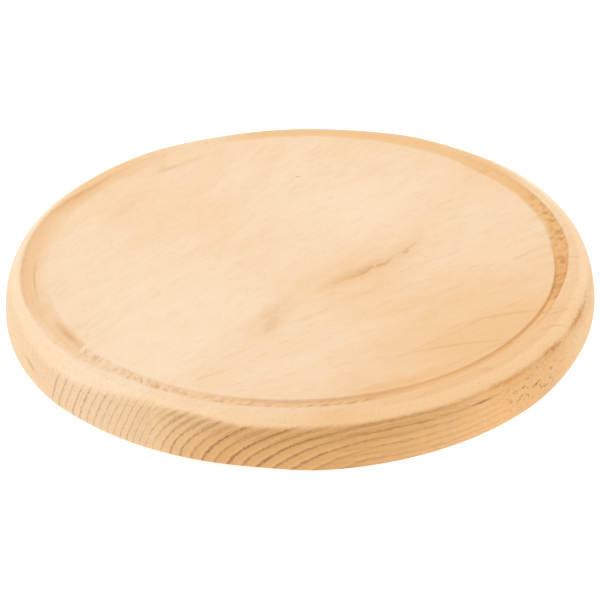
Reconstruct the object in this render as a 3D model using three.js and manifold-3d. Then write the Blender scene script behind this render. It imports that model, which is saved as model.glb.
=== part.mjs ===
// A small round cutting board of pale wood: three staves glued edge to edge along the grain, turned as
// one disc with a rounded rim and a juice groove. Millimetres, +Z up, +X along the grain. The origin is
// the centre of the underside.
import * as THREE from "three";
import { mergeVertices } from "three/addons/utils/BufferGeometryUtils.js";
import Module from "manifold-3d";

// Driving dimensions: the turned disc
const BOARD_DIAMETER = 190;
const BOARD_THICKNESS = 18;
const WIDEST_HEIGHT = 4.6; // height of the widest line of the rim above the underside
const TOP_ROUND_WIDTH = 6.3; // how far the long upper rounding reaches in from the rim
const BOTTOM_ROUND_WIDTH = 2.8; // how far the short lower rounding reaches in from the rim

// Driving dimensions: the juice groove
const RIM_LAND = 2.4; // flat band between the groove and the upper rounding
const GROOVE_WIDTH = 4.4;
const GROOVE_DEPTH = 1.5;

// Driving dimensions: the glued staves
const MIDDLE_STAVE_WIDTH = 37;
const MIDDLE_STAVE_OFFSET = 4.5; // from the board's centre to the middle stave's centre line
const GLUE_LINE = 0.1; // thickness of a cured glue line

// Fineness of the facets
const TURNING_STEPS = 96;
const TOP_ROUND_STEPS = 9;
const BOTTOM_ROUND_STEPS = 5;
const GROOVE_STEPS = 8;

// Worked out from the driving dimensions
const RIM_RADIUS = BOARD_DIAMETER / 2;
const TOP_FLAT_RADIUS = RIM_RADIUS - TOP_ROUND_WIDTH;
const BOTTOM_FLAT_RADIUS = RIM_RADIUS - BOTTOM_ROUND_WIDTH;
const TOP_ROUND_HEIGHT = BOARD_THICKNESS - WIDEST_HEIGHT;
const GROOVE_RADIUS = TOP_FLAT_RADIUS - RIM_LAND - GROOVE_WIDTH / 2;
const FAR_JOINT = MIDDLE_STAVE_OFFSET + MIDDLE_STAVE_WIDTH / 2;
const NEAR_JOINT = MIDDLE_STAVE_OFFSET - MIDDLE_STAVE_WIDTH / 2;

const wasm = await Module();
wasm.setup();

const staveWood = (color) => new THREE.MeshStandardMaterial({ color, roughness: 0.6, metalness: 0 });
const curedGlue = (color) => new THREE.MeshStandardMaterial({ color, roughness: 0.45, metalness: 0 });

// A closed geometry as a solid that can be cut
function solidFrom(geometry) {
  const bare = new THREE.BufferGeometry();
  bare.setAttribute("position", geometry.getAttribute("position"));
  bare.setIndex(geometry.index);
  const merged = mergeVertices(bare);
  return new wasm.Manifold(
    new wasm.Mesh({
      numProp: 3,
      vertProperties: merged.getAttribute("position").array,
      triVerts: new Uint32Array(merged.index.array),
    }),
  );
}

// A cut solid as a named mesh
function meshFrom(solid, name, material) {
  const cut = solid.getMesh();
  const geometry = new THREE.BufferGeometry();
  geometry.setAttribute("position", new THREE.BufferAttribute(cut.vertProperties, 3));
  geometry.setIndex(new THREE.BufferAttribute(cut.triVerts, 1));
  geometry.computeVertexNormals();
  const mesh = new THREE.Mesh(geometry, material);
  mesh.name = name;
  return mesh;
}

// Points of an elliptical arc: its centre and half axes, then its first and last angle
function arc({ radius, height, width, rise }, { from, to, steps }) {
  return Array.from({ length: steps + 1 }, (_, step) => {
    const angle = from + ((to - from) * step) / steps;
    return new THREE.Vector2(radius + width * Math.cos(angle), height + rise * Math.sin(angle));
  });
}

// The disc's half section, from the underside's centre round the rim to the top's centre
function discSection() {
  const quarter = Math.PI / 2;
  const bottomRound = arc(
    { radius: BOTTOM_FLAT_RADIUS, height: WIDEST_HEIGHT, width: BOTTOM_ROUND_WIDTH, rise: WIDEST_HEIGHT },
    { from: -quarter, to: 0, steps: BOTTOM_ROUND_STEPS },
  );
  const topRound = arc(
    { radius: TOP_FLAT_RADIUS, height: WIDEST_HEIGHT, width: TOP_ROUND_WIDTH, rise: TOP_ROUND_HEIGHT },
    { from: 0, to: quarter, steps: TOP_ROUND_STEPS },
  );
  const groove = arc(
    { radius: GROOVE_RADIUS, height: BOARD_THICKNESS, width: GROOVE_WIDTH / 2, rise: GROOVE_DEPTH },
    { from: 0, to: -2 * quarter, steps: GROOVE_STEPS },
  );
  const undersideCentre = new THREE.Vector2(0, 0);
  const topCentre = new THREE.Vector2(0, BOARD_THICKNESS);
  return [undersideCentre, ...bottomRound, ...topRound.slice(1), ...groove, topCentre];
}

// The whole turned disc, standing on its underside
function turnedDisc() {
  const disc = new THREE.LatheGeometry(discSection(), TURNING_STEPS);
  disc.rotateX(Math.PI / 2);
  return solidFrom(disc);
}

// A slab across the board between two lines along the grain, longer and taller than the disc
function slab(fromY, toY) {
  const box = new THREE.BoxGeometry(2 * BOARD_DIAMETER, toY - fromY, 2 * BOARD_THICKNESS);
  box.translate(0, (fromY + toY) / 2, BOARD_THICKNESS / 2);
  return solidFrom(box);
}

const disc = turnedDisc();
const halfGlue = GLUE_LINE / 2;

// Each piece is what the turning leaves of its strip of the glued panel
const pieces = [
  ["far_stave", FAR_JOINT + halfGlue, BOARD_DIAMETER, staveWood(0xf7dcbc)],
  ["far_glue_line", FAR_JOINT - halfGlue, FAR_JOINT + halfGlue, curedGlue(0xe6c08c)],
  ["middle_stave", NEAR_JOINT + halfGlue, FAR_JOINT - halfGlue, staveWood(0xf8d8b0)],
  ["near_glue_line", NEAR_JOINT - halfGlue, NEAR_JOINT + halfGlue, curedGlue(0xe6c08c)],
  ["near_stave", -BOARD_DIAMETER, NEAR_JOINT - halfGlue, staveWood(0xf4cda1)],
];

const board = new THREE.Group();
board.name = "cutting_board";
for (const [name, fromY, toY, material] of pieces) {
  board.add(meshFrom(disc.intersect(slab(fromY, toY)), name, material));
}

export default board;
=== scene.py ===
"""Looks of a small round cutting board: three glued staves of pale wood, turned with a rounded rim and a
juice groove. Metres, +Z up, +X along the grain, origin at the centre of the underside."""
import math

import bpy
from mathutils import Matrix, Vector


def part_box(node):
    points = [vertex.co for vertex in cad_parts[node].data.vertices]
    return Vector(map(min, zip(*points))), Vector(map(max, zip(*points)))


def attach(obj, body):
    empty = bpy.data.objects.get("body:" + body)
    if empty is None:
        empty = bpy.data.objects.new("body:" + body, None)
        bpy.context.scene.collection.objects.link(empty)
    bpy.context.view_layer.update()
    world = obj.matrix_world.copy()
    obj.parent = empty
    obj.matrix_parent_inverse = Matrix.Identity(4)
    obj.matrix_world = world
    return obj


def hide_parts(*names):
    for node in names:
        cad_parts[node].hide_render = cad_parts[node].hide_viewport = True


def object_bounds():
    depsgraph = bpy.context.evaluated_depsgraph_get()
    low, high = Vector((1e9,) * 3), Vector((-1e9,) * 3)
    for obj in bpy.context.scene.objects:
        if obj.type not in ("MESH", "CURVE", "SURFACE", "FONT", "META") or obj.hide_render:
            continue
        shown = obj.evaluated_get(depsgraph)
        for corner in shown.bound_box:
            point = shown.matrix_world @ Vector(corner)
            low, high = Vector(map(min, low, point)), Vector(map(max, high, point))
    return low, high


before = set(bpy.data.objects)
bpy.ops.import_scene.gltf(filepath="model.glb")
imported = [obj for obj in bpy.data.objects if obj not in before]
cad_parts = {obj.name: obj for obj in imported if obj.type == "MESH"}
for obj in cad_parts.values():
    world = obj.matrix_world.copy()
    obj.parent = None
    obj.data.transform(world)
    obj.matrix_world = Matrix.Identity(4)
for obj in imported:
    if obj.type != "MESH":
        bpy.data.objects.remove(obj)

CAD_BOX = [list(corner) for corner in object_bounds()]
MM = 0.001

# Turned shape, in millimetres: the overall sizes come from the frame
RIM_RADIUS = (CAD_BOX[1][0] - CAD_BOX[0][0]) / 2 / MM
THICKNESS = (CAD_BOX[1][2] - CAD_BOX[0][2]) / MM
WIDEST_HEIGHT = 4.6
TOP_ROUND_WIDTH = 6.3
BOTTOM_ROUND_WIDTH = 2.8
RIM_LAND = 2.4
GROOVE_WIDTH = 4.4
GROOVE_DEPTH = 1.5

# Stretches where the hand-finished section differs: the most that it changes there, in millimetres, then
# the angle of its middle and how far off it starts and is full, in degrees
STRETCHES = {
    "Far Spread": (3.5, 134, 46, 22),
    "End Spread": (2.8, 330, 30, 10),
    "Groove Pinch": (1.7, 267, 35, 16),
    "Shallow Groove": (0.95, 174, 38, 20),
    "Front Sanding": (0.4, 230, 36, 16),
    "Sanded Groove": (1.2, 40, 58, 38),
    "Hard Sanding": (2.3, 41, 31, 9),
    "Lower Wear": (2.0, 191, 29, 13),
    "Crisp Edge": (1.3, 246, 38, 18),
}

# Steps round the board and along each stretch of its half section
TURNING_STEPS = 384
SECTION_STEPS = {
    "underside": 6,
    "low_round": 8,
    "high_round": 20,
    "land": 2,
    "groove": 24,
    "lip": 2,
    "top": 8,
}

# Where the joints lie across the grain, in millimetres
FAR_JOINT = 23.0
NEAR_JOINT = -14.0

# Display colours of the wood, its marks and the glue, 0 to 255
TONES = {
    "pale ground": (231, 206, 175),
    "warm ground": (226, 184, 135),
    "fibre": (212, 170, 124),
    "flake": (212, 160, 104),
    "smudge": (206, 158, 96),
    "streak": (214, 164, 108),
    "pale skin": (240, 212, 178),
    "warm skin": (240, 203, 156),
    "back band tan": (222, 172, 110),
    "painted grazing sheen": (244, 226, 202),
    "pale pore": (240, 208, 162),
    "dark pore": (184, 136, 88),
    "ray fleck": (184, 122, 66),
    "end grain": (216, 177, 131),
    "far groove": (216, 162, 96),
    "far front groove": (218, 166, 100),
    "faint ring": (190, 142, 96),
    "upright ring": (134, 94, 54),
    "chatter": (176, 118, 62),
    "dark mark": (164, 114, 66),
    "inner lip shade": (178, 122, 66),
    "pinhole": (130, 94, 64),
    "middle groove": (220, 164, 94),
    "middle blotch": (182, 126, 64),
    "ring between": (146, 104, 62),
    "near end grain": (216, 175, 126),
    "heartwood": (207, 157, 99),
    "near groove": (220, 163, 86),
    "smear": (222, 164, 92),
    "near blotch": (176, 118, 54),
    "early wood": (232, 190, 136),
    "groove mottle": (168, 108, 46),
    "groove chip": (156, 102, 42),
    "tear-out": (146, 96, 42),
    "pinched floor": (240, 206, 158),
    "pinched lip": (180, 120, 56),
    "arching ring": (128, 82, 38),
    "close ring": (150, 100, 50),
    "rim layer": (160, 98, 38),
    "back end ring": (140, 94, 48),
    "bright rim": (250, 196, 132),
    "rim patch": (230, 172, 106),
    "rim shade": (212, 152, 84),
    "rim ribbon": (176, 110, 42),
    "pit": (160, 96, 34),
    "dash": (112, 74, 38),
    "figure arc": (192, 118, 46),
    "figure line": (190, 126, 62),
    "land line": (170, 106, 48),
    "streak haze": (208, 154, 84),
    "streak core": (176, 116, 52),
    "pale glue": (231, 202, 166),
    "amber glue": (225, 190, 146),
}


class Socket:
    """An output socket of a node tree. Arithmetic on it adds Math nodes to that tree."""

    def __init__(self, output):
        self.output = output
        self.tree = output.id_data

    @classmethod
    def node(cls, tree, kind, settings=None, sockets=None, result=0):
        """Adds a node: its settings come first, then the values or links of its sockets."""
        made = tree.nodes.new(kind)
        for name, value in (settings or {}).items():
            setattr(made, name, value)
        for name, value in (sockets or {}).items():
            for each in value if isinstance(value, list) else [value]:
                if isinstance(each, cls):
                    tree.links.new(each.output, made.inputs[name])
                else:
                    made.inputs[name].default_value = each
        return cls(made.outputs[result]) if made.outputs else None

    def add(self, kind, settings=None, sockets=None, result=0):
        return Socket.node(self.tree, kind, settings, sockets, result)

    def math(self, operation, *values):
        return self.add("ShaderNodeMath", {"operation": operation}, dict(enumerate(values)))

    def __add__(self, other):
        return self.math("ADD", self, other)

    def __radd__(self, other):
        return self.math("ADD", other, self)

    def __sub__(self, other):
        return self.math("SUBTRACT", self, other)

    def __rsub__(self, other):
        return self.math("SUBTRACT", other, self)

    def __mul__(self, other):
        return self.math("MULTIPLY", self, other)

    def __rmul__(self, other):
        return self.math("MULTIPLY", other, self)

    def __truediv__(self, other):
        return self.math("DIVIDE", self, other)

    def __rtruediv__(self, other):
        return self.math("DIVIDE", other, self)

    def __pow__(self, other):
        return self.math("POWER", self, other)

    def __abs__(self):
        return self.math("ABSOLUTE", self)

    def __neg__(self):
        return self.math("MULTIPLY", self, -1.0)

    def sine(self):
        return self.math("SINE", self)

    def cosine(self):
        return self.math("COSINE", self)

    def root(self):
        return self.math("SQRT", self)

    def smallest(self, other):
        return self.math("MINIMUM", self, other)

    def largest(self, other):
        return self.math("MAXIMUM", self, other)

    def fraction(self):
        return self.math("FRACT", self)

    def rounded(self):
        return self.math("ROUND", self)

    def bell(self, width):
        """One where the value is nought, falling away over a width."""
        return self.math("EXPONENT", -((self / width) ** 2))

    def clamped(self):
        return self.add("ShaderNodeClamp", None, {"Value": self})

    def step(self, start, end):
        """Eases from nought at start to one at end."""
        return self.add(
            "ShaderNodeMapRange",
            {"interpolation_type": "SMOOTHSTEP"},
            {"Value": self, "From Min": start, "From Max": end},
        )

    def window(self, start, full, fading, end):
        """Eases up from start to full and down again from fading to end."""
        return self.step(start, full) * self.step(end, fading)

    def parts(self):
        split = self.tree.nodes.new("ShaderNodeSeparateXYZ")
        self.tree.links.new(self.output, split.inputs[0])
        return [Socket(output) for output in split.outputs]


def polynomial(value, coefficients):
    """A polynomial of a socket, lowest power first."""
    total = coefficients[-1]
    for coefficient in reversed(coefficients[:-1]):
        total = value * total + coefficient
    return total


def turned_strip_tree():
    """The tree that turns the board's section and keeps one strip of it between two lines along the grain."""
    tree = bpy.data.node_groups.new("turned_strip", "GeometryNodeTree")
    lengths = {
        "Rim Radius": RIM_RADIUS,
        "Thickness": THICKNESS,
        "Widest Height": WIDEST_HEIGHT,
        "Top Round Width": TOP_ROUND_WIDTH,
        "Bottom Round Width": BOTTOM_ROUND_WIDTH,
        "Rim Land": RIM_LAND,
        "Groove Width": GROOVE_WIDTH,
        "Groove Depth": GROOVE_DEPTH,
        "From Y": 0.0,
        "To Y": 0.0,
    }
    lengths.update({name: change[0] for name, change in STRETCHES.items()})
    for name, length in lengths.items():
        item = tree.interface.new_socket(name, in_out="INPUT", socket_type="NodeSocketFloat")
        item.default_value = length * MM
    tree.interface.new_socket("Material", in_out="INPUT", socket_type="NodeSocketMaterial")
    tree.interface.new_socket("Geometry", in_out="OUTPUT", socket_type="NodeSocketGeometry")
    given = tree.nodes.new("NodeGroupInput")
    size = {name: Socket(given.outputs[name]) for name in [*lengths, "Material"]}

    # A flat grid: one side counts along the half section, the other goes round the board
    section_steps = sum(SECTION_STEPS.values())
    grid = Socket.node(
        tree,
        "GeometryNodeMeshGrid",
        None,
        {"Size X": 1.0, "Size Y": 1.0, "Vertices X": section_steps + 1, "Vertices Y": TURNING_STEPS + 1},
    )
    flat_x, flat_y, _ = Socket.node(tree, "GeometryNodeInputPosition").parts()
    count = (flat_x + 0.5) * float(section_steps)
    angle = (flat_y + 0.5) * (2 * math.pi)
    share = {}
    steps_before = 0
    for name, steps in SECTION_STEPS.items():
        share[name] = ((count - float(steps_before)) / float(steps)).clamped()
        steps_before += steps

    # The groove spreads on two stretches, where it takes room from what lies beside it, is pinched on a
    # third and is shallower on three more. At the back the rounding is sanded over the land. The lower
    # rounding is wide on one stretch and narrow on another.
    part = {}
    change = {}
    for name, (_, centre, start, full) in STRETCHES.items():
        nearness = (angle - math.radians(centre)).cosine()
        part[name] = nearness.step(math.cos(math.radians(start)), math.cos(math.radians(full)))
        change[name] = part[name] * size[name]
    far_from_land = 0.67
    far_from_round = 0.33
    end_from_round = 0.5
    pinch_to_land = 0.65
    land = size["Rim Land"] - change["Far Spread"] * far_from_land - change["Hard Sanding"]
    land = land + change["Groove Pinch"] * pinch_to_land
    top_round = size["Top Round Width"] - change["Far Spread"] * far_from_round
    top_round = top_round - change["End Spread"] * end_from_round + change["Hard Sanding"]
    groove = size["Groove Width"] + change["Far Spread"] + change["End Spread"] - change["Groove Pinch"]
    low_round = size["Bottom Round Width"] + change["Lower Wear"] - change["Crisp Edge"]
    quarter = math.pi / 2
    low_flat = size["Rim Radius"] - low_round
    inner_lip = size["Rim Radius"] - top_round - land - groove
    support = 0.8 * MM
    radius = share["underside"] * low_flat
    radius = radius + (share["low_round"] * quarter).sine() * low_round
    radius = radius - (1.0 - (share["high_round"] * quarter).cosine()) * top_round
    radius = radius - share["land"] * land
    across_groove = (share["groove"] * math.pi).cosine()
    radius = radius - (1.0 - across_groove) * 0.5 * groove
    radius = radius - share["lip"] * support
    radius = radius - share["top"] * (inner_lip - support)
    height = (1.0 - (share["low_round"] * quarter).cosine()) * size["Widest Height"]
    height = height + (share["high_round"] * quarter).sine() * (size["Thickness"] - size["Widest Height"])

    # The groove: a flat floor between rounded walls, whose inner wall is eased where the groove spreads
    inner_easing = 0.4
    pinch_lift = 0.4
    end_lift = 0.2
    least_share = 0.08
    soft_side = (part["Far Spread"] + part["End Spread"]) * (1.0 - across_groove) * inner_easing
    lifted = part["Groove Pinch"] * pinch_lift + part["End Spread"] * end_lift
    depth = size["Groove Depth"] - change["Shallow Groove"]
    depth = depth - change["Front Sanding"] - change["Sanded Groove"]
    depth = depth * (1.0 - soft_side - lifted).largest(least_share)
    hollow = (1.0 - abs(across_groove) ** 5.0) ** 2.0
    height = height - hollow * depth
    place = Socket.node(
        tree,
        "ShaderNodeCombineXYZ",
        None,
        {"X": radius * angle.cosine(), "Y": radius * angle.sine(), "Z": height},
    )
    turned = grid.add("GeometryNodeSetPosition", None, {"Geometry": grid, "Position": place})
    closed = grid.add("GeometryNodeMergeByDistance", None, {"Geometry": turned, "Distance": 0.002 * MM})
    outward = grid.add("GeometryNodeFlipFaces", None, {"Mesh": closed})

    # The strip of the board that one piece keeps
    block_size = grid.add(
        "ShaderNodeCombineXYZ",
        None,
        {"X": size["Rim Radius"] * 4.0, "Y": size["To Y"] - size["From Y"], "Z": size["Thickness"] * 4.0},
    )
    block = grid.add("GeometryNodeMeshCube", None, {"Size": block_size})
    middle = grid.add("ShaderNodeCombineXYZ", None, {"Y": (size["From Y"] + size["To Y"]) * 0.5})
    placed = grid.add("GeometryNodeTransform", None, {"Geometry": block, "Translation": middle})
    strip = grid.add(
        "GeometryNodeMeshBoolean",
        {"operation": "INTERSECT", "solver": "MANIFOLD"},
        {"Mesh 2": [outward, placed]},
    )
    smooth = grid.add("GeometryNodeSetShadeSmooth", {"domain": "FACE"}, {0: strip, "Shade Smooth": True})
    bend = grid.add("GeometryNodeInputMeshEdgeAngle")
    sharp = bend.math("GREATER_THAN", bend, math.radians(35))
    creased = grid.add(
        "GeometryNodeSetShadeSmooth",
        {"domain": "EDGE"},
        {0: smooth, "Selection": sharp, "Shade Smooth": False},
    )
    plain = grid.add("GeometryNodeRealizeInstances", None, {"Geometry": creased})
    dressed = grid.add("GeometryNodeSetMaterial", None, {"Geometry": plain, "Material": size["Material"]})
    Socket.node(tree, "NodeGroupOutput", None, {"Geometry": dressed})
    return tree


def turned_strip(tree, node, material):
    """One piece of the board as a plain mesh, between the lines that its CAD node keeps."""
    low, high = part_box(node)
    reach = 2 * RIM_RADIUS * MM
    from_y = low[1] if low[1] > CAD_BOX[0][1] + 0.1 * MM else -reach
    to_y = high[1] if high[1] < CAD_BOX[1][1] - 0.1 * MM else reach
    holder = bpy.data.objects.new("strip_holder", bpy.data.meshes.new("strip_holder"))
    bpy.context.scene.collection.objects.link(holder)
    modifier = holder.modifiers.new("turned_strip", "NODES")
    modifier.node_group = tree
    inputs = {item.name: item.identifier for item in tree.interface.items_tree if item.in_out == "INPUT"}
    modifier[inputs["From Y"]] = from_y
    modifier[inputs["To Y"]] = to_y
    modifier[inputs["Material"]] = material
    graph = bpy.context.evaluated_depsgraph_get()
    mesh = bpy.data.meshes.new_from_object(holder.evaluated_get(graph), depsgraph=graph)
    bpy.data.objects.remove(holder)
    mesh.name = node + "_turned"
    piece = bpy.data.objects.new(node + "_turned", mesh)
    bpy.context.scene.collection.objects.link(piece)
    return piece


def tone(name):
    """A named display colour as the linear colour that a shader takes."""
    linear = []
    for level in (part / 255 for part in TONES[name]):
        linear.append(level / 12.92 if level <= 0.04045 else ((level + 0.055) / 1.055) ** 2.4)
    return (*linear, 1.0)


def blend(factor, first, second):
    """A colour between two others."""
    return factor.add("ShaderNodeMix", {"data_type": "RGBA"}, {0: factor, 6: first, 7: second}, 2)


def speckle(point, turn, length, width, detail=2.0, roughness=0.5):
    """Noise whose grains lie along the wood, turned in plan; sizes in millimetres, result 0 to 1."""
    laid = point.add(
        "ShaderNodeMapping",
        {"vector_type": "TEXTURE"},
        {"Vector": point, "Rotation": (0.0, 0.0, turn), "Scale": (length * MM, width * MM, width * MM)},
    )
    return point.add(
        "ShaderNodeTexNoise",
        {"noise_dimensions": "3D"},
        {"Vector": laid, "Scale": 1.0, "Detail": detail, "Roughness": roughness},
    )


def flecks(point, turn, length, width, thinnest):
    """Short lens-shaped ray flecks along the grain, as a mask."""
    laid = point.add(
        "ShaderNodeMapping",
        {"vector_type": "TEXTURE"},
        {"Vector": point, "Rotation": (0.0, 0.0, turn), "Scale": (length * MM, width * MM, width * MM)},
    )
    cell = point.add(
        "ShaderNodeTexVoronoi",
        {"voronoi_dimensions": "3D", "feature": "F1"},
        {"Vector": laid, "Scale": 1.0, "Randomness": 1.0},
    )
    return cell.step(thinnest, thinnest * 0.4)


def ring_lines(count, width):
    """Dark latewood lines from a ring count: sharp at each whole number, easing in before it."""
    through = count.fraction()
    near = 0.5 - abs(through - 0.5)
    line = near.step(width, width * 0.25)
    return (line * 0.8 + through ** 5.0 * 0.3).clamped()


def ring_strength(count, weakest):
    """How strongly each ring shows: its own share between a least value and one."""
    number = count.rounded()
    pick = count.add("ShaderNodeTexWhiteNoise", {"noise_dimensions": "1D"}, {"W": number})
    return pick * (1.0 - weakest) + weakest


class Wood:
    """The nodes that all staves share: places in millimetres, the rim, the groove and the fine grain."""

    def __init__(self, name, turn):
        self.material = bpy.data.materials.new(name)
        self.material.use_nodes = True
        self.tree = self.material.node_tree
        self.tree.nodes.clear()
        self.turn = turn
        self.point = Socket.node(self.tree, "ShaderNodeTexCoord", None, None, "Object")
        self.x, self.y, self.z = self.measured(self.point, (0.0, 0.0, 0.0), 0.0)
        self.radius = (self.x * self.x + self.y * self.y).root()
        self.turned = self.y.math("ARCTAN2", self.y, self.x) * (180 / math.pi)
        self.edge = self.radius.step(89.0, 90.6)
        self.face = 1.0 - self.edge
        self.upper = self.z.step(10.0, 13.0)
        self.top = self.face * self.upper
        sunk = (THICKNESS - self.z).step(0.03, 0.55) * self.z.step(12.0, 14.0)
        self.groove = sunk * (1.0 - self.radius.step(88.8, 89.8))
        self.fibre = speckle(self.point, turn, 6.0, 0.45, 3.0, 0.6)
        self.cloud = speckle(self.point, turn, 26.0, 9.0, 3.0, 0.55)
        self.streak = speckle(self.point, turn, 9.0, 0.9, 2.0, 0.55)
        self.pore = speckle(self.point, turn, 1.2, 0.75, 1.0, 0.5)
        self.rough = speckle(self.point, turn, 2.2, 0.75, 2.0, 0.6) - 0.5
        self.fleck = flecks(self.point, turn, 4.6, 1.1, 0.19)
        self.broken = speckle(self.point, turn, 2.6, 1.3, 1.0, 0.5).step(0.32, 0.58) * 0.5 + 0.5
        self.tan = self.back_tan_band()

    def back_tan_band(self):
        """A darker tan band over the back of the rim and groove, and more weakly over a stretch beyond it."""
        from_outside = self.turned.step(0.0, 30.0) * 4.0 + 92.0 - self.radius
        band = self.radius.step(82.0, 84.4) * from_outside.step(0.0, 5.0) * self.z.step(12.0, 15.0)
        hard = band * self.turned.window(-26.0, -8.0, 46.0, 58.0)
        weak = self.radius.window(80.2, 82.0, 87.5, 90.5) * (self.radius.step(83.0, 86.5) * 0.4 + 0.6)
        beyond = self.turned.window(58.0, 82.0, 116.0, 150.0) * self.upper
        return hard + weak * beyond * 0.6

    def painted_grazing_sheen(self):
        """Painted reflection: the back of the upper rounding made paler where it drops away, standing in for
        the sheen of the white surroundings seen at a grazing angle.
        """
        round_back = self.turned.window(-42.0, -20.0, 98.0, 124.0)
        return self.radius.step(88.7, 90.7) * self.z.step(13.0, 15.5) * round_back

    def smudge(self):
        """A dull patch that handling left on the top, across the near joint."""
        ahead = self.x + 31.0
        aside = self.y + 13.6 - ahead * 0.12
        patchy = speckle(self.point, 0.3, 6.0, 3.0, 2.0, 0.6).step(0.3, 0.62) * 0.6 + 0.4
        return ahead.bell(11.0) * aside.bell(4.6) * patchy * self.top

    def measured(self, point, origin, turn):
        """A point's three coordinates in millimetres from an origin, turned in plan."""
        laid = point.add(
            "ShaderNodeMapping",
            {"vector_type": "TEXTURE"},
            {
                "Vector": point,
                "Location": tuple(length * MM for length in origin),
                "Rotation": (0.0, 0.0, turn),
                "Scale": (MM, MM, MM),
            },
        )
        return laid.parts()

    def drawn_out(self):
        """The point, carried out to the widest line where the lower rounding draws in."""
        low = self.edge * self.z.step(5.0, 4.2)
        carry = 1.0 + (RIM_RADIUS / self.radius - 1.0) * low
        return self.point.add("ShaderNodeVectorMath", {"operation": "SCALE"}, {0: self.point, "Scale": carry})

    def rim_below(self, height, softness=1.0):
        """The steep part of the turned edge, below a height, where the end grain shows."""
        above = self.z - height + self.rough * 1.2 * softness
        return self.edge * above.step(1.8 * softness, -1.2 * softness)

    def upright_rings(self):
        """The ring count of the upright rings at the front end, as the middle stave shows them."""
        waver = (speckle(self.point, self.turn, 50.0, 7.0) - 0.5) * 0.35 + self.rough * 0.4
        along, across, rise = self.measured(self.drawn_out(), (-90.0, 5.0, 9.0), 0.0)
        across = (across + along * 0.099) * 0.9367 + rise * 0.3503
        return across / 2.7743 + polynomial(across / 15.0, [0.0624, 0.0, -0.6255, 0.0941]) + waver

    def ground(self, rim):
        """The plain wood: pale at the far side, warmer across the middle and towards the near side."""
        warm = self.y.step(-3.0, -17.0) * 0.26 + self.y.step(-36.0, -88.0) * 0.5
        warm = warm + self.x.bell(24.0) * (self.y.step(-2.0, -18.0) * 0.1 + 0.26)
        backward = (self.x * 0.788 + self.y * 0.616).step(30.0, 85.0)
        warm = warm + self.y.step(20.0, 60.0) * 0.14 + backward * 0.15 + (self.cloud - 0.5) * 0.75
        beside_groove = self.radius.step(34.0, 78.0)
        warm = warm + beside_groove * self.turned.window(-32.0, -8.0, 22.0, 42.0) * 0.24
        warm = warm + beside_groove * self.turned.window(-142.0, -128.0, -106.0, -90.0) * 0.14
        left_front = self.turned.window(124.0, 150.0, 162.0, 172.0)
        warm = warm + self.radius.window(62.0, 80.0, 87.0, 90.0) * left_front * 0.17
        colour = blend(warm.clamped(), tone("pale ground"), tone("warm ground"))
        on_land = self.radius.step(85.6, 87.2) * (1.0 - rim)
        colour = blend(self.fibre.step(0.45, 0.75) * (on_land * 0.18 + 0.05), colour, tone("fibre"))
        flake = speckle(self.point, self.turn, 5.0, 2.4, 2.0, 0.6).step(0.5, 0.7) * self.face
        colour = blend(flake * 0.11, colour, tone("flake"))
        colour = blend(self.smudge() * 0.36, colour, tone("smudge"))
        streaked = self.streak.step(0.5, 0.72) * self.face * (self.y.step(-40.0, 20.0) * 0.06 + 0.1)
        colour = blend(streaked, colour, tone("streak"))
        skin_warmth = self.y.step(20.0, -40.0) * (1.0 - self.x.step(0.0, 60.0) * 0.4) + left_front * 0.4
        skin = blend(skin_warmth, tone("pale skin"), tone("warm skin"))
        colour = blend(self.edge * 0.6, colour, skin)
        # a darker tan band over the back of the rim and groove
        colour = blend(self.tan * 0.58, colour, tone("back band tan"))
        # painted reflection: a pale sheen along the back of the upper rounding
        colour = blend(self.painted_grazing_sheen() * 0.55, colour, tone("painted grazing sheen"))
        colour = blend(self.pore.step(0.46, 0.26) * rim * 0.4, colour, tone("pale pore"))
        dark_pore = self.pore.step(0.5, 0.76) * (rim * 0.36 + on_land * 0.1 + 0.03)
        return blend(dark_pore, colour, tone("dark pore"))

    def finish(self, colour, lines, roughness):
        """Joins the colour, the grain's bump and the surface."""
        colour = blend(self.fleck * (0.13 - self.edge * 0.02), colour, tone("ray fleck"))
        fine = self.fibre * 0.14 + self.pore * (self.edge * 0.6 + 0.2) - self.fleck * 0.3 - lines * 0.5
        bump = self.point.add(
            "ShaderNodeBump", None, {"Strength": 0.25, "Distance": 0.12 * MM, "Height": fine}
        )
        surface = self.point.add(
            "ShaderNodeBsdfPrincipled",
            None,
            {"Base Color": colour, "Roughness": roughness, "Normal": bump, "Specular IOR Level": 0.2},
        )
        Socket.node(self.tree, "ShaderNodeOutputMaterial", None, {"Surface": surface})
        return self.material


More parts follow.
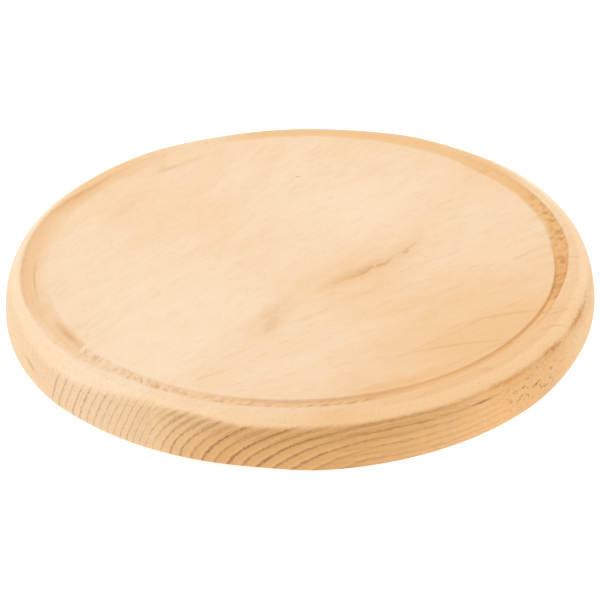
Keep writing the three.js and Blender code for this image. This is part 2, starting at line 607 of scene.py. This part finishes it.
def pale_stave_wood():
    """The far stave: pale, straight grain whose faint lines lie a few millimetres apart."""
    wood = Wood("pale_stave_wood", 0.0)
    away = wood.y.step(24.0, 62.0)
    rim = wood.rim_below(away * 2.3 + 13.2)
    waver = (speckle(wood.point, 0.0, 60.0, 9.0) - 0.5) * 2.2
    count = (wood.y + wood.z * 0.15) / 4.4 + waver
    patchy = speckle(wood.point, 0.0, 18.0, 4.0).step(0.42, 0.68)
    lines = ring_lines(count, 0.3) * ring_strength(count, 0.05) * patchy
    colour = wood.ground(rim * 0.72)
    colour = blend(rim * (0.42 - away * 0.12), colour, tone("end grain"))
    # The groove's darker colour is partly the cut's darker wood and partly painted shade in the hollow;
    # towards the left the outer wall is painted darker still, as shade.
    outer_wall_shade = wood.radius.step(83.4, 86.6) * 0.6 + 0.4
    outer_wall_shade = outer_wall_shade * (wood.turned.step(95.0, 125.0) * 0.55 + 0.45) * (1.0 - wood.tan * 0.6)
    outer_wall_shade = outer_wall_shade * (1.0 - wood.turned.step(138.0, 156.0) * 0.6)
    colour = blend(wood.groove * outer_wall_shade * 0.42, colour, tone("far groove"))
    front_groove = wood.radius.window(80.6, 82.0, 86.4, 87.6)
    front_groove = front_groove * wood.y.step(60.0, 44.0) * wood.x.step(-40.0, -60.0) * wood.upper
    colour = blend(front_groove * (0.2 + wood.cloud * 0.2), colour, tone("far front groove"))
    colour = blend(lines * 0.07, colour, tone("faint ring"))

    # Beside the joint the front end shows a few upright rings, and chatter marks farther along the rim
    front_end = (wood.y - FAR_JOINT).step(5.5, 2.5) * wood.x.step(-60.0, -80.0) * rim
    colour = blend(ring_lines(wood.upright_rings(), 0.15) * front_end * 0.45, colour, tone("upright ring"))
    aside = wood.y - 40.0
    chatter = (wood.z - 8.4 - aside * 0.2 + wood.rough * 3.0).bell(0.7) * aside.bell(3.6)
    colour = blend(chatter * wood.x.step(-60.0, -80.0) * wood.edge * 0.42, colour, tone("chatter"))

    # A short dark mark, a pinhole, and painted shade: a dark line along the bottom of the groove and a broken
    # dark line along its inner lip
    slant = wood.y - 72.1 + (wood.x - 23.4) * 0.33 + wood.rough * 1.2
    mark = slant.bell(1.2) * ((wood.x - 22.0).bell(4.5) * 0.2 + (wood.x - 32.0).bell(8.0) * 0.11)
    # painted shade: a thin dark line along the bottom of the groove at the left
    groove_floor_shade = (wood.radius - 85.0).bell(0.35) * (wood.x + 56.0).bell(8.0) * 0.35
    colour = blend((mark + groove_floor_shade) * wood.upper, colour, tone("dark mark"))
    # painted shade along a stretch of the groove's inner lip, broken up by the fibre
    inner_lip_shade = (wood.radius - 83.3).bell(1.1) * (wood.y - 31.0).bell(8.0)
    inner_lip_shade = inner_lip_shade * (wood.fibre.step(0.25, 0.6) * 0.6 + 0.4)
    colour = blend(inner_lip_shade * wood.x.step(-40.0, -60.0) * wood.upper * 0.48, colour, tone("inner lip shade"))
    pinhole = ((wood.x - 43.0) ** 2.0 + (wood.y - 33.0) ** 2.0).root().step(0.7, 0.2)
    colour = blend(pinhole * wood.upper * 0.4, colour, tone("pinhole"))
    return wood.finish(colour, lines, 0.58 + wood.fibre * 0.12)


def straight_stave_wood():
    """The middle stave: rings stand almost upright at its ends and run straight along the top."""
    turn = -0.0987
    wood = Wood("straight_stave_wood", turn)
    nearer = wood.y.step(FAR_JOINT - 1.0, NEAR_JOINT)
    rim = wood.rim_below(nearer * 3.0 + 13.2)
    count = wood.upright_rings()
    patchy = speckle(wood.point, turn, 18.0, 4.0).step(0.42, 0.68)
    lines = ring_lines(count, 0.15) * ring_strength(count, 0.45)
    colour = wood.ground(rim)
    colour = blend(rim * (nearer * 0.16 + 0.42), colour, tone("end grain"))
    front = wood.x.step(10.0, -20.0)
    # The groove's darker colour: partly the cut's darker wood, partly painted shade in the hollow
    colour = blend(wood.groove * (0.6 - front * 0.36) * (1.0 - wood.tan * 0.8), colour, tone("middle groove"))
    blotch = speckle(wood.point, turn + 0.5, 3.6, 1.4, 1.0, 0.5).step(0.46, 0.62)
    blotch = blotch * (wood.radius - 84.0).bell(1.5) * front * wood.upper
    colour = blend(blotch * 0.46, colour, tone("middle blotch"))
    joint = (wood.y - NEAR_JOINT).step(8.0, 1.0)
    shown = rim * (0.62 - joint * 0.24) * wood.broken + wood.groove * front * 0.12 + patchy * 0.02
    colour = blend(lines * shown, colour, tone("upright ring"))
    between = ring_lines(count + 0.5, 0.13) * rim * joint
    colour = blend(between * 0.12, colour, tone("ring between"))
    return wood.finish(colour, lines * (rim * 0.8 + 0.1), 0.58 + wood.fibre * 0.12)


def near_groove_tint(wood, colour, grain, right_end):
    """The near stave's groove and what lies beside it, browned, most of all at the right end. In the groove
    the browning is partly the cut's darker wood and partly painted shade in the hollow.
    """
    in_tan = 1.0 - wood.tan * 0.9
    # partly painted shade in the hollow of the groove
    colour = blend(wood.groove * (right_end * 0.38 + 0.28) * in_tan, colour, tone("near groove"))
    beside = (wood.radius - 80.0).bell(2.0) * wood.turned.window(-134.0, -124.0, -114.0, -106.0)
    smear = (wood.radius - 91.0).bell(2.2) * (wood.turned + 135.0).bell(5.5) * (wood.cloud * 0.6 + 0.7)
    colour = blend((beside * 0.34 + smear * 0.3) * wood.upper, colour, tone("smear"))
    blotch = speckle(wood.point, grain, 3.2, 1.2, 1.0, 0.5).step(0.48, 0.64)
    blotch = blotch * (wood.radius - 84.2).bell(1.6) * wood.x.step(-40.0, -56.0) * wood.upper
    colour = blend(blotch * 0.4, colour, tone("near blotch"))
    return colour


def worn_groove_end(wood, colour, mottle):
    """The right end of the groove: mottled, chipped and torn, then pinched between dark lips."""
    colour = blend(mottle * (wood.radius.step(82.6, 85.6) * 0.22 + 0.1), colour, tone("groove mottle"))
    chips = speckle(wood.point, 0.0, 2.8, 1.8, 1.0, 0.5).step(0.54, 0.66) * wood.groove
    chips = chips * wood.turned.window(-82.0, -66.0, -30.0, -22.0)
    colour = blend(chips * 0.26, colour, tone("groove chip"))
    for torn_x, torn_y, torn_size in ((48.8, -69.2, 1.2), (29.2, -79.4, 1.1)):
        torn = ((wood.x - torn_x) ** 2.0 + (wood.y - torn_y) ** 2.0).root() + wood.rough * 1.6
        colour = blend(torn.step(torn_size, torn_size * 0.3) * wood.upper * 0.4, colour, tone("tear-out"))
    pinched = wood.turned.window(-98.0, -84.0, -76.0, -64.0) * wood.upper
    lips = ((wood.radius - 82.7).bell(0.5) + (wood.radius - 85.1).bell(0.5)) * wood.fibre.step(0.3, 0.6)
    colour = blend((wood.radius - 83.9).bell(0.7) * pinched * 0.45, colour, tone("pinched floor"))
    colour = blend(lips * pinched * 0.22, colour, tone("pinched lip"))
    return colour


def back_end_rings(wood, colour, rim):
    """End grain at the near stave's back end, in arcs about a heart below the board."""
    end_count = ((wood.y + 64.0) ** 2.0 + (wood.z + 15.0) ** 2.0).root() / 2.5 + wood.rough * 0.5
    end_lines = ring_lines(end_count, 0.2) * ring_strength(end_count, 0.4) * wood.broken
    colour = blend(end_lines * rim * wood.x.step(50.0, 70.0) * 0.5, colour, tone("back end ring"))
    return colour


def right_rim_marks(wood, colour, rim, long_grain):
    """Towards the right the rim runs with the grain: soft brown streaks and pits in place of rings."""
    turn = 0.12
    patch = speckle(wood.point, turn, 7.0, 3.2).step(0.44, 0.64)
    colour = blend((wood.turned + 103.0).bell(8.0) * rim * 0.28, colour, tone("bright rim"))
    colour = blend(patch * rim * long_grain * 0.34, colour, tone("rim patch"))
    wander = (speckle(wood.point, turn, 14.0, 5.0) - 0.5) * 2.2
    stretches = (wood.x + 15.0).bell(10.0) * 0.6 + (wood.x - 6.0).bell(6.0) + (wood.x - 28.0).bell(9.0)
    shade = (wood.z - 13.6 + wander).bell(2.2) * stretches * wood.edge
    colour = blend(shade * 0.42, colour, tone("rim shade"))
    ribbon_texture = speckle(wood.point, turn, 5.0, 1.6, 2.0, 0.6).step(0.32, 0.54)
    ribbon = (wood.z - 14.3 + wander + wood.rough * 1.6).bell(0.75) * ribbon_texture * stretches * wood.edge
    colour = blend(ribbon * 0.74, colour, tone("rim ribbon"))
    pitted = (wood.x + 6.0).bell(13.0) * (wood.z - 8.2).bell(4.4)
    pits = speckle(wood.point, turn, 2.2, 1.5, 3.0, 0.65).step(0.55, 0.63) * wood.edge * pitted
    colour = blend(pits * 0.8, colour, tone("pit"))
    dash = (wood.z - 11.9).bell(0.3) * (wood.x + 27.2).bell(3.0) * wood.edge
    colour = blend(dash * 0.75, colour, tone("dash"))
    return colour


def near_top_figure(wood, colour, grain):
    """The figure on the near stave's top."""
    # Two arcs of the figure near the rim
    for from_x, from_y in ((-24.3, -62.6), (2.0, -67.6)):
        ahead = wood.x - from_x
        arc = (wood.y - from_y - polynomial(ahead, [0.0, -0.6, -0.012]) + wood.rough * 0.8).bell(0.75)
        colour = blend(arc * (ahead - 11.0).bell(12.0) * wood.top * 0.24, colour, tone("figure arc"))

    # Finer figure: wavering, broken lines along the grain, and lines across the land
    figure = (wood.y + wood.x * 0.33) / 5.2 + wood.rough * 0.5
    figure = figure + (speckle(wood.point, grain, 46.0, 10.0) - 0.5) * 2.6
    shown_figure = ring_strength(figure, 0.2) * speckle(wood.point, grain, 14.0, 3.0).step(0.44, 0.62)
    colour = blend(ring_lines(figure, 0.13) * shown_figure * wood.face * 0.2, colour, tone("figure line"))
    land_line = ((wood.x - 50.7) * 0.894 + (wood.y + 70.3) * 0.447).bell(0.35)
    land_line = land_line * (wood.radius - 87.4).bell(3.0)
    for middle_x, middle_y, slope in ((12.4, -88.6, -0.34), (19.5, -85.4, -0.42)):
        aside = wood.y - middle_y - (wood.x - middle_x) * slope + wood.rough * 0.5
        land_line = land_line + aside.bell(0.4) * (wood.x - middle_x).bell(5.5) * wood.radius.step(85.6, 87.0)
    colour = blend(land_line * wood.upper * 0.22, colour, tone("land line"))
    return colour


def dark_streak(wood, colour, grain):
    """The dark streak beside the joint: crisp on its near side, hazy on its far side, in patches."""
    path = polynomial(wood.x / 50.0, [-20.36, -13.31, -3.45, 21.1, 5.85, -6.87])
    off = wood.y - path + (speckle(wood.point, 0.0, 7.0, 2.5) - 0.5) * 3.4
    haze = (off - 1.0).bell(3.2) * (NEAR_JOINT - 0.2 - wood.y).step(0.0, 2.2)
    core = off.bell(0.9) * speckle(wood.point, grain, 3.6, 1.2).step(0.38, 0.6)
    hazy = (wood.x + 37.0).bell(8.0) * 0.5 + (wood.x - 3.0).bell(13.0) + (wood.x - 26.0).bell(12.0) * 0.5
    dark = (wood.x + 40.0).bell(4.5) * 0.2 + (wood.x - 8.0).bell(9.0) + (wood.x - 24.0).bell(7.0) * 0.6
    colour = blend(haze * hazy * wood.top * 0.42, colour, tone("streak haze"))
    colour = blend(core * dark * wood.top * 0.55, colour, tone("streak core"))
    return colour


def warm_stave_wood():
    """The near stave: warmer wood with arching rings on the rim, slanting figure and a dark streak on top."""
    turn = -0.5844
    grain = -0.33
    wood = Wood("warm_stave_wood", grain)
    along, across, rise = wood.measured(wood.drawn_out(), (-54.0, -103.2, -7.29), turn)
    bow = (along / 50.0) ** 2.0
    heart_height = along.step(-57.0, -72.0) * 1.5 + 14.7
    rim = wood.rim_below(heart_height, 0.55)
    fan = across.step(50.0, 110.0) * (along - 5.0) * 0.44
    across = across - bow * 0.54 - fan
    rise = rise + bow * 0.27
    reach = (across * across + rise * rise).root()
    share = ((reach - 35.0) / 25.0).smallest(0.85).largest(-0.6)
    waver = (speckle(wood.point, turn, 40.0, 7.0) - 0.5) * 0.3 + wood.rough * 0.4
    count = reach / 2.1685 + polynomial(share, [0.2407, 0.0, -0.7107, 1.6101, -0.1565]) + waver
    patchy = speckle(wood.point, turn, 18.0, 3.5).step(0.42, 0.68)
    lines = ring_lines(count, 0.19) * ring_strength(count, 0.5)
    long_grain = (along - wood.z * 1.5).step(-40.0, 6.0)
    joint = (wood.y - NEAR_JOINT).step(-9.0, -1.0)

    # Heartwood: darker inside the rings that the rim cuts
    heart = reach.step(52.0, 36.0) * 0.72 + reach.step(80.0, 44.0) * (1.0 - joint) * 0.2
    colour = wood.ground(rim)
    colour = blend(rim * (0.58 - long_grain * 0.3), colour, tone("near end grain"))
    colour = blend(heart * (rim * 0.85 + 0.15) * (1.0 - long_grain * 0.45), colour, tone("heartwood"))
    right_end = wood.turned.step(-86.0, -68.0) * wood.x.step(0.0, 10.0)
    colour = near_groove_tint(wood, colour, grain, right_end)

    # Rings on the rim and in the groove, close together under the heartwood's upper edge and at the joint
    early_wood = (count.fraction() - 0.2).bell(0.12) * rim * (1.0 - long_grain)
    colour = blend(early_wood * 0.3, colour, tone("early wood"))
    fading = 1.0 - (along - wood.z * 1.5).step(-62.0, -14.0) * 0.45
    along_rim = wood.turned.window(-144.0, -126.0, -106.0, -92.0)
    on_rim = rim * (1.0 - long_grain * 0.9) * fading * (0.74 - joint * 0.45) * (wood.broken * 0.6 + 0.4)
    on_rim = on_rim * (1.0 - along_rim * 0.5)
    mottle = speckle(wood.point, grain, 4.2, 2.2, 2.0, 0.6).step(0.47, 0.62)
    mottle = mottle * wood.groove * right_end * wood.y.step(-30.0, -44.0)
    colour = worn_groove_end(wood, colour, mottle)
    in_groove = mottle * 0.2 + wood.groove * 0.05
    colour = blend(lines * (on_rim + in_groove + patchy * 0.04), colour, tone("arching ring"))
    close = (wood.z - heart_height + 2.2).bell(2.4) * rim * (1.0 - joint)
    fine_lines = ring_lines(count * 2.0 + 0.5, 0.25) * close * (1.0 - long_grain * 0.7)
    colour = blend(fine_lines * 0.42, colour, tone("close ring"))
    layer = (wood.z - 12.0) / 2.27 + wood.rough * 0.5 + (speckle(wood.point, 0.0, 24.0, 8.0) - 0.5) * 0.5
    layers = ring_lines(layer, 0.24) * ring_strength(layer, 0.6) * rim * along_rim * (wood.broken * 0.7 + 0.3)
    colour = blend(layers * 0.46, colour, tone("rim layer"))

    # The rest of the rim and the top
    colour = back_end_rings(wood, colour, rim)
    colour = right_rim_marks(wood, colour, rim, long_grain)
    colour = near_top_figure(wood, colour, grain)
    colour = dark_streak(wood, colour, grain)
    return wood.finish(colour, lines * (rim * (1.0 - long_grain) * 0.8 + 0.1), 0.57 + wood.fibre * 0.12)


def cured_glue():
    """Clear amber glue, cut flush with the wood and a little mottled."""
    material = bpy.data.materials.new("cured_glue")
    material.use_nodes = True
    tree = material.node_tree
    tree.nodes.clear()
    point = Socket.node(tree, "ShaderNodeTexCoord", None, None, "Object")
    cloud = speckle(point, 0.0, 6.0, 1.5)
    colour = blend(cloud.step(0.3, 0.7), tone("pale glue"), tone("amber glue"))
    along = point.parts()[0] / MM
    colour = blend(along.window(80.0, 83.0, 88.0, 93.0) * 0.5, colour, tone("back band tan"))
    bump = point.add("ShaderNodeBump", None, {"Strength": 0.15, "Distance": 0.05 * MM, "Height": cloud})
    surface = point.add(
        "ShaderNodeBsdfPrincipled",
        None,
        {"Base Color": colour, "Roughness": 0.4 + cloud * 0.15, "Normal": bump, "Specular IOR Level": 0.4},
    )
    Socket.node(tree, "ShaderNodeOutputMaterial", None, {"Surface": surface})
    return material


def pale_floor():
    """A wide white floor, so bright that hardly any shadow shows on it."""
    half = 4.0
    low = -0.2 * MM
    mesh = bpy.data.meshes.new("pale_floor")
    corners = [(-half, -half, low), (half, -half, low), (half, half, low), (-half, half, low)]
    mesh.from_pydata(corners, [], [(0, 1, 2, 3)])
    floor = bpy.data.objects.new("pale_floor", mesh)
    bpy.context.scene.collection.objects.link(floor)
    material = bpy.data.materials.new("pale_floor")
    material.use_nodes = True
    surface = material.node_tree.nodes["Principled BSDF"]
    surface.inputs["Base Color"].default_value = (0.5, 0.5, 0.5, 1.0)
    surface.inputs["Roughness"].default_value = 0.9
    surface.inputs["Specular IOR Level"].default_value = 0.1
    surface.inputs["Emission Color"].default_value = (1.0, 1.0, 1.0, 1.0)
    surface.inputs["Emission Strength"].default_value = 0.75
    mesh.materials.append(material)


def soft_light(name, place, size, power):
    """A square soft light that faces the board."""
    light = bpy.data.lights.new(name, "AREA")
    light.shape = "SQUARE"
    light.size = size
    light.energy = power
    lamp = bpy.data.objects.new(name, light)
    lamp.matrix_world = Matrix.Translation(place) @ Vector(place).to_track_quat("Z", "Y").to_matrix().to_4x4()
    bpy.context.scene.collection.objects.link(lamp)


def camera_view():
    """The camera: a long lens one metre from the board, a little rolled."""
    grain = math.radians(52)
    down = math.radians(31.66)
    roll = math.radians(-1.663)
    forward = Vector((math.cos(down) * math.sin(grain), math.cos(down) * math.cos(grain), -math.sin(down)))
    right = Vector((math.cos(grain), -math.sin(grain), 0.0))
    up = right.cross(forward)
    rolled_right = right * math.cos(roll) + up * math.sin(roll)
    rolled_up = up * math.cos(roll) - right * math.sin(roll)
    data = bpy.data.cameras.new("camera")
    data.sensor_width = 36.0
    data.lens = 184.9
    frame_width = 600
    data.shift_x = -0.23 / frame_width
    data.shift_y = 6.70 / frame_width
    camera = bpy.data.objects.new("camera", data)
    turn = Matrix((rolled_right, rolled_up, -forward)).transposed().to_4x4()
    camera.matrix_world = Matrix.Translation(forward * -1.0) @ turn
    bpy.context.scene.collection.objects.link(camera)
    bpy.context.scene.camera = camera


camera_view()
glue = cured_glue()
finishes = {
    "far_stave": ("pale_stave_wood", pale_stave_wood()),
    "middle_stave": ("straight_stave_wood", straight_stave_wood()),
    "near_stave": ("warm_stave_wood", warm_stave_wood()),
    "far_glue_line": ("cured_glue", glue),
    "near_glue_line": ("cured_glue", glue),
}
strip_tree = turned_strip_tree()
for node_name, (slot_name, finish) in finishes.items():
    piece = turned_strip(strip_tree, node_name, finish)
    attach(piece, "root")
    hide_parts(node_name)

# Stage and light
pale_floor()
scene = bpy.context.scene
scene.view_settings.view_transform = "Standard"
world = bpy.data.worlds.new("studio")
world.use_nodes = True
world.node_tree.nodes["Background"].inputs["Color"].default_value = (1.0, 1.0, 1.0, 1.0)
world.node_tree.nodes["Background"].inputs["Strength"].default_value = 1.04
scene.world = world
soft_light("key_light", (0.2, 0.6, 1.45), 1.2, 5.3)
